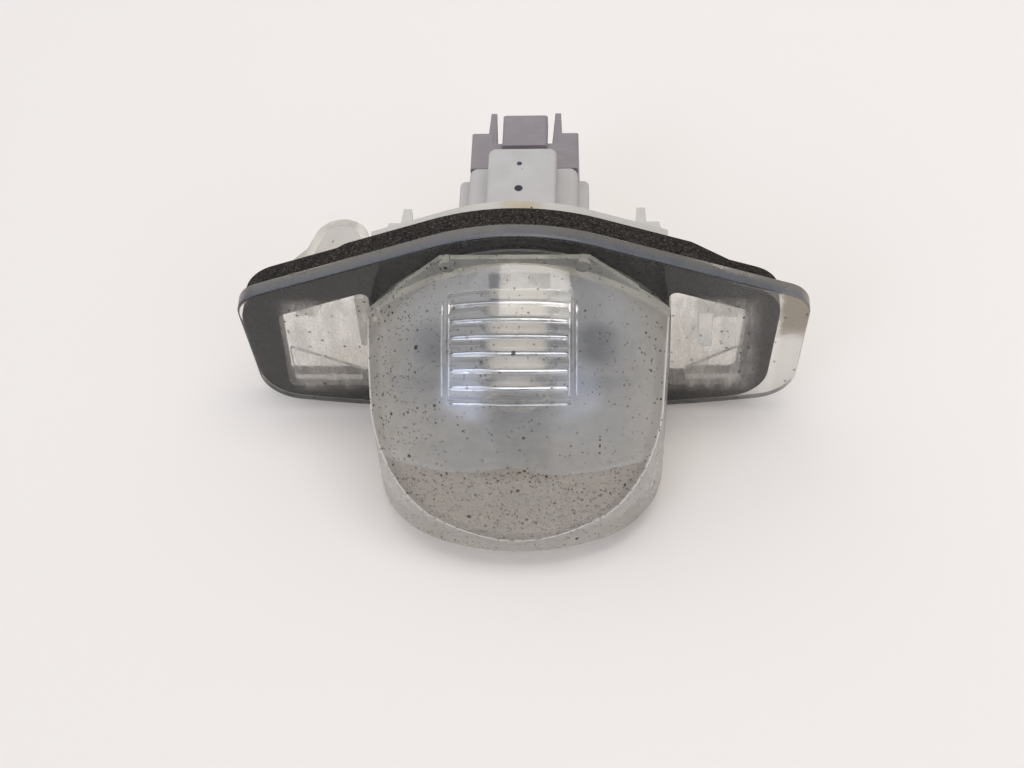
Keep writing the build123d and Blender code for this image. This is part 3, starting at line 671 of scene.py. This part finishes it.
def bulb_finish():
    """Clear glass with a pale warm film along its top as a painted highlight, and a thinner film by the
    socket.
    """
    finish = Finish("bulb_envelope")
    film = finish.effect(mottle, Scale=0.3, Contrast=1.5)
    finish.set(Base_Color=finish.blend(film, (0.97, 0.97, 0.97, 1), (0.86, 0.85, 0.83, 1)))
    finish.set(Roughness=finish.between(film, 0.01, 0.06))
    finish.set(Transmission_Weight=1.0, IOR=glass_ior)
    finish.grain(0.5, depth_mm=0.01, strength=0.3)
    # Painted highlight: a warm pale film along the top of the bulb.
    along_top = finish.ease(finish.z, *bulb_highlight_z)
    by_socket = finish.ease(finish.y, *bulb_bloom_y)
    hidden = finish.total((along_top, 0.58), (by_socket, 0.15))
    pale_film_and_highlight = finish.blend(film, (0.9, 0.85, 0.76, 1), (0.84, 0.78, 0.68, 1))
    finish.cover_with_dull_film(hidden, pale_film_and_highlight)
    finish.let_lamps_through(0.9, (0.95, 0.95, 0.95, 1))
    return finish.material


def cover(node, *materials):
    """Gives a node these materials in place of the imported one."""
    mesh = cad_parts[node].data
    mesh.materials.clear()
    for material in materials:
        mesh.materials.append(material)
    return mesh


def rows_of_three(items, attribute, width=3, kind=float):
    """One attribute of a mesh's items, three values to a row; width is how many values an item has."""
    values = np.zeros(len(items) * width, kind)
    items.foreach_get(attribute, values)
    return values.reshape(-1, 3)


def face_places(mesh):
    """The middle of each face in millimetres, and the way it faces."""
    return rows_of_three(mesh.polygons, "center") / MM, rows_of_three(mesh.polygons, "normal")


def mark_crease_highlight(mesh, crown_faces, wall_faces):
    """Gives each point 1 on the line where crown and wall meet, falling to 0 a set distance from it: the
    reach of the painted highlight along the crease.
    """
    places = rows_of_three(mesh.vertices, "co") / MM
    corners = rows_of_three(mesh.loops, "vertex_index", 1, np.int64)
    crown = np.unique(corners[crown_faces])
    wall = np.unique(corners[wall_faces])
    crown_places = np.unique(places[crown].round(3), axis=0)
    wall_places = np.unique(places[wall].round(3), axis=0)
    both = np.vstack((crown_places, wall_places))
    every, seen = np.unique(both, axis=0, return_counts=True)
    crease = every[seen == 2]
    away = np.min(np.linalg.norm(places[crown][:, None] - crease[None], axis=2), axis=1)
    rubbed = np.zeros(len(places))
    rubbed[crown] = np.clip(1 - away / crease_highlight_fade, 0, 1)
    mesh.attributes.new(crease_highlight_attribute, "FLOAT", "POINT").data.foreach_set("value", rubbed)


def cover_lens():
    """Clear flange with its snap features and rubbed edge, and the dome's crown, walls and inside."""
    mesh = cover(
        "lens",
        clear_flange_finish(),
        hazed_dome_finish(),
        dome_inside_finish(),
        flange_edge_finish(),
        dome_wall_finish(),
    )
    clear_slot, crown_slot, inside_slot, edge_slot, wall_slot = range(len(mesh.materials))
    centres, normals = face_places(mesh)
    depth = -centres[:, 1]
    dome = depth > flange_front_depth + above_flange
    collar_face = (normals[:, 1] < -facing) & (depth < collar_front_depth)
    inward = (((centres - dome_middle) * normals).sum(1) < 0) & ~collar_face
    wall = (normals[:, 2] < wall_facing) & (depth > collar_front_depth)
    outward = (centres[:, [0, 2]] * normals[:, [0, 2]]).sum(1) > 0
    rim = (depth > flange_rear_depth) & ~dome & (np.abs(normals[:, 1]) < edge_facing)
    floor = (normals[:, 2] > facing) & (np.abs(centres[:, 2] - dome_floor_z) < on_dome_floor)
    slots = np.full(len(depth), clear_slot, np.int32)
    slots[rim & outward] = edge_slot
    slots[dome] = crown_slot
    slots[dome & wall] = wall_slot
    slots[(dome & inward) | floor] = inside_slot
    mesh.polygons.foreach_set("material_index", slots)
    mark_crease_highlight(mesh, slots == crown_slot, slots == wall_slot)
    mesh.update()


def cover_housing():
    """Cream-grey outside, and a paler inside, partly painted light, that has two patches of painted shade
    and no road dirt.
    """
    mesh = cover(
        "rear_housing",
        housing_finish("housing_plastic", (0.6, 0.585, 0.545, 1), (0.7, 0.685, 0.645, 1), 0.0),
        # The inside is a paler copy of the housing plastic: partly a lighter tone, partly painted light on
        # the shaded inside.
        housing_finish("housing_inside", (0.8, 0.775, 0.735, 1), (0.87, 0.845, 0.8, 1), 0.8),
    )
    centres, normals = face_places(mesh)
    within = (np.abs(centres[:, 0]) < case_inside_x) & (np.abs(centres[:, 2]) < case_inside_z)
    inward = ((centres - case_middle) * normals).sum(1) < 0
    mesh.polygons.foreach_set("material_index", (within & inward).astype(np.int32))
    mesh.update()


cover_lens()
cover("foam_gasket", foam_finish())
cover_housing()
cover("bulb_holder", holder_finish())
cover("connector_shroud", shroud_finish())
cover("holder_seal", seal_finish())
brass = metal_finish("contact_brass", (0.75, 0.6, 0.32, 1), (0.42, 0.31, 0.16, 1), 0.25)
steel = metal_finish("lead_steel", (0.6, 0.6, 0.6, 1), (0.3, 0.29, 0.28, 1), 0.3)
tungsten = metal_finish("filament_tungsten", (0.34, 0.34, 0.35, 1), (0.16, 0.15, 0.15, 1), 0.4)
for side in ("left", "right"):
    cover("contact_" + side, brass)
    cover("filament_lead_" + side, steel)
cover("bulb_filament", tungsten)
cover("bulb_glass", bulb_finish())


def make_floor():
    """A plain pale board at the lamp's lowest point."""
    around = ((-1, -1), (1, -1), (1, 1), (-1, 1))
    corners = [(x * floor_reach, y * floor_reach, cad_low.z) for x, y in around]
    mesh = bpy.data.meshes.new("floor")
    mesh.from_pydata(corners, [], [(0, 1, 2, 3)])
    floor = bpy.data.objects.new("floor", mesh)
    bpy.context.scene.collection.objects.link(floor)
    finish = Finish("pale_board")
    finish.set(Base_Color=floor_colour, Roughness=0.8, Specular_IOR_Level=0.2)
    mesh.materials.append(finish.material)


def make_sky():
    """A pale sky, brighter behind to the left, with two bright panels in front and a dim gap between."""
    world = bpy.data.worlds.new("sky")
    world.use_nodes = True
    recipe = Recipe(world.node_tree)
    sky = world.node_tree.nodes["Background"]
    where = recipe.node("ShaderNodeTexCoord").outputs["Generated"]
    along, ahead, up = recipe.node("ShaderNodeSeparateXYZ", {"Vector": where}).outputs
    aside = recipe.work("ABSOLUTE", along)
    overall = recipe.blend(recipe.ease(up, *sky_rise), sky_low, sky_high)
    apart = recipe.vector("DISTANCE", where, sky_glow_way)
    glowing = recipe.blend(recipe.ease(apart, *sky_glow_reach), overall, sky_glow)
    in_front = recipe.ease(ahead, *sky_front)
    middle = recipe.ease(aside, *sky_dim_aside)
    below_top = recipe.ease(up, *sky_dim_up)
    shade = recipe.product(in_front, middle, below_top, sky_dim_share)
    shaded = recipe.blend(shade, glowing, sky_dim)
    across = recipe.product(recipe.ease(aside, *sky_panel_inner), recipe.ease(aside, *sky_panel_outer))
    height = recipe.product(recipe.ease(up, *sky_panel_low), recipe.ease(up, *sky_panel_high))
    brighter_left = recipe.ease(along, *sky_panel_lean, sky_panel_right_share, 1.0)
    panels = recipe.product(in_front, recipe.product(across, height, brighter_left))
    recipe.put(sky.inputs["Color"], recipe.blend(panels, shaded, sky_panel))
    sky.inputs["Strength"].default_value = sky_strength
    bpy.context.scene.world = world


def make_window():
    """One soft warm light straight overhead."""
    data = bpy.data.lights.new("window", "AREA")
    data.energy = window_strength
    data.shape = "RECTANGLE"
    data.size = window_width
    data.size_y = window_depth
    data.color = window_colour
    window = bpy.data.objects.new("window", data)
    window.location = window_place
    bpy.context.scene.collection.objects.link(window)


def make_camera():
    """The photo's viewpoint: in front, about 50 degrees above the board and tipped a little."""
    data = bpy.data.cameras.new("camera")
    data.sensor_fit = "HORIZONTAL"
    data.sensor_width = camera_sensor
    data.lens = camera_lens
    data.clip_start, data.clip_end = camera_clip
    camera = bpy.data.objects.new("camera", data)
    place = Vector(camera_place) * MM
    aim = Vector(camera_aim) * MM
    level_turn = (aim - place).to_track_quat("-Z", "Y")
    camera.location = place
    camera.rotation_mode = "QUATERNION"
    camera.rotation_quaternion = level_turn @ Quaternion((0, 0, 1), math.radians(camera_roll))
    bpy.context.scene.collection.objects.link(camera)
    bpy.context.scene.camera = camera


make_floor()
make_sky()
make_window()
make_camera()
bpy.context.scene.view_settings.view_transform = "Standard"
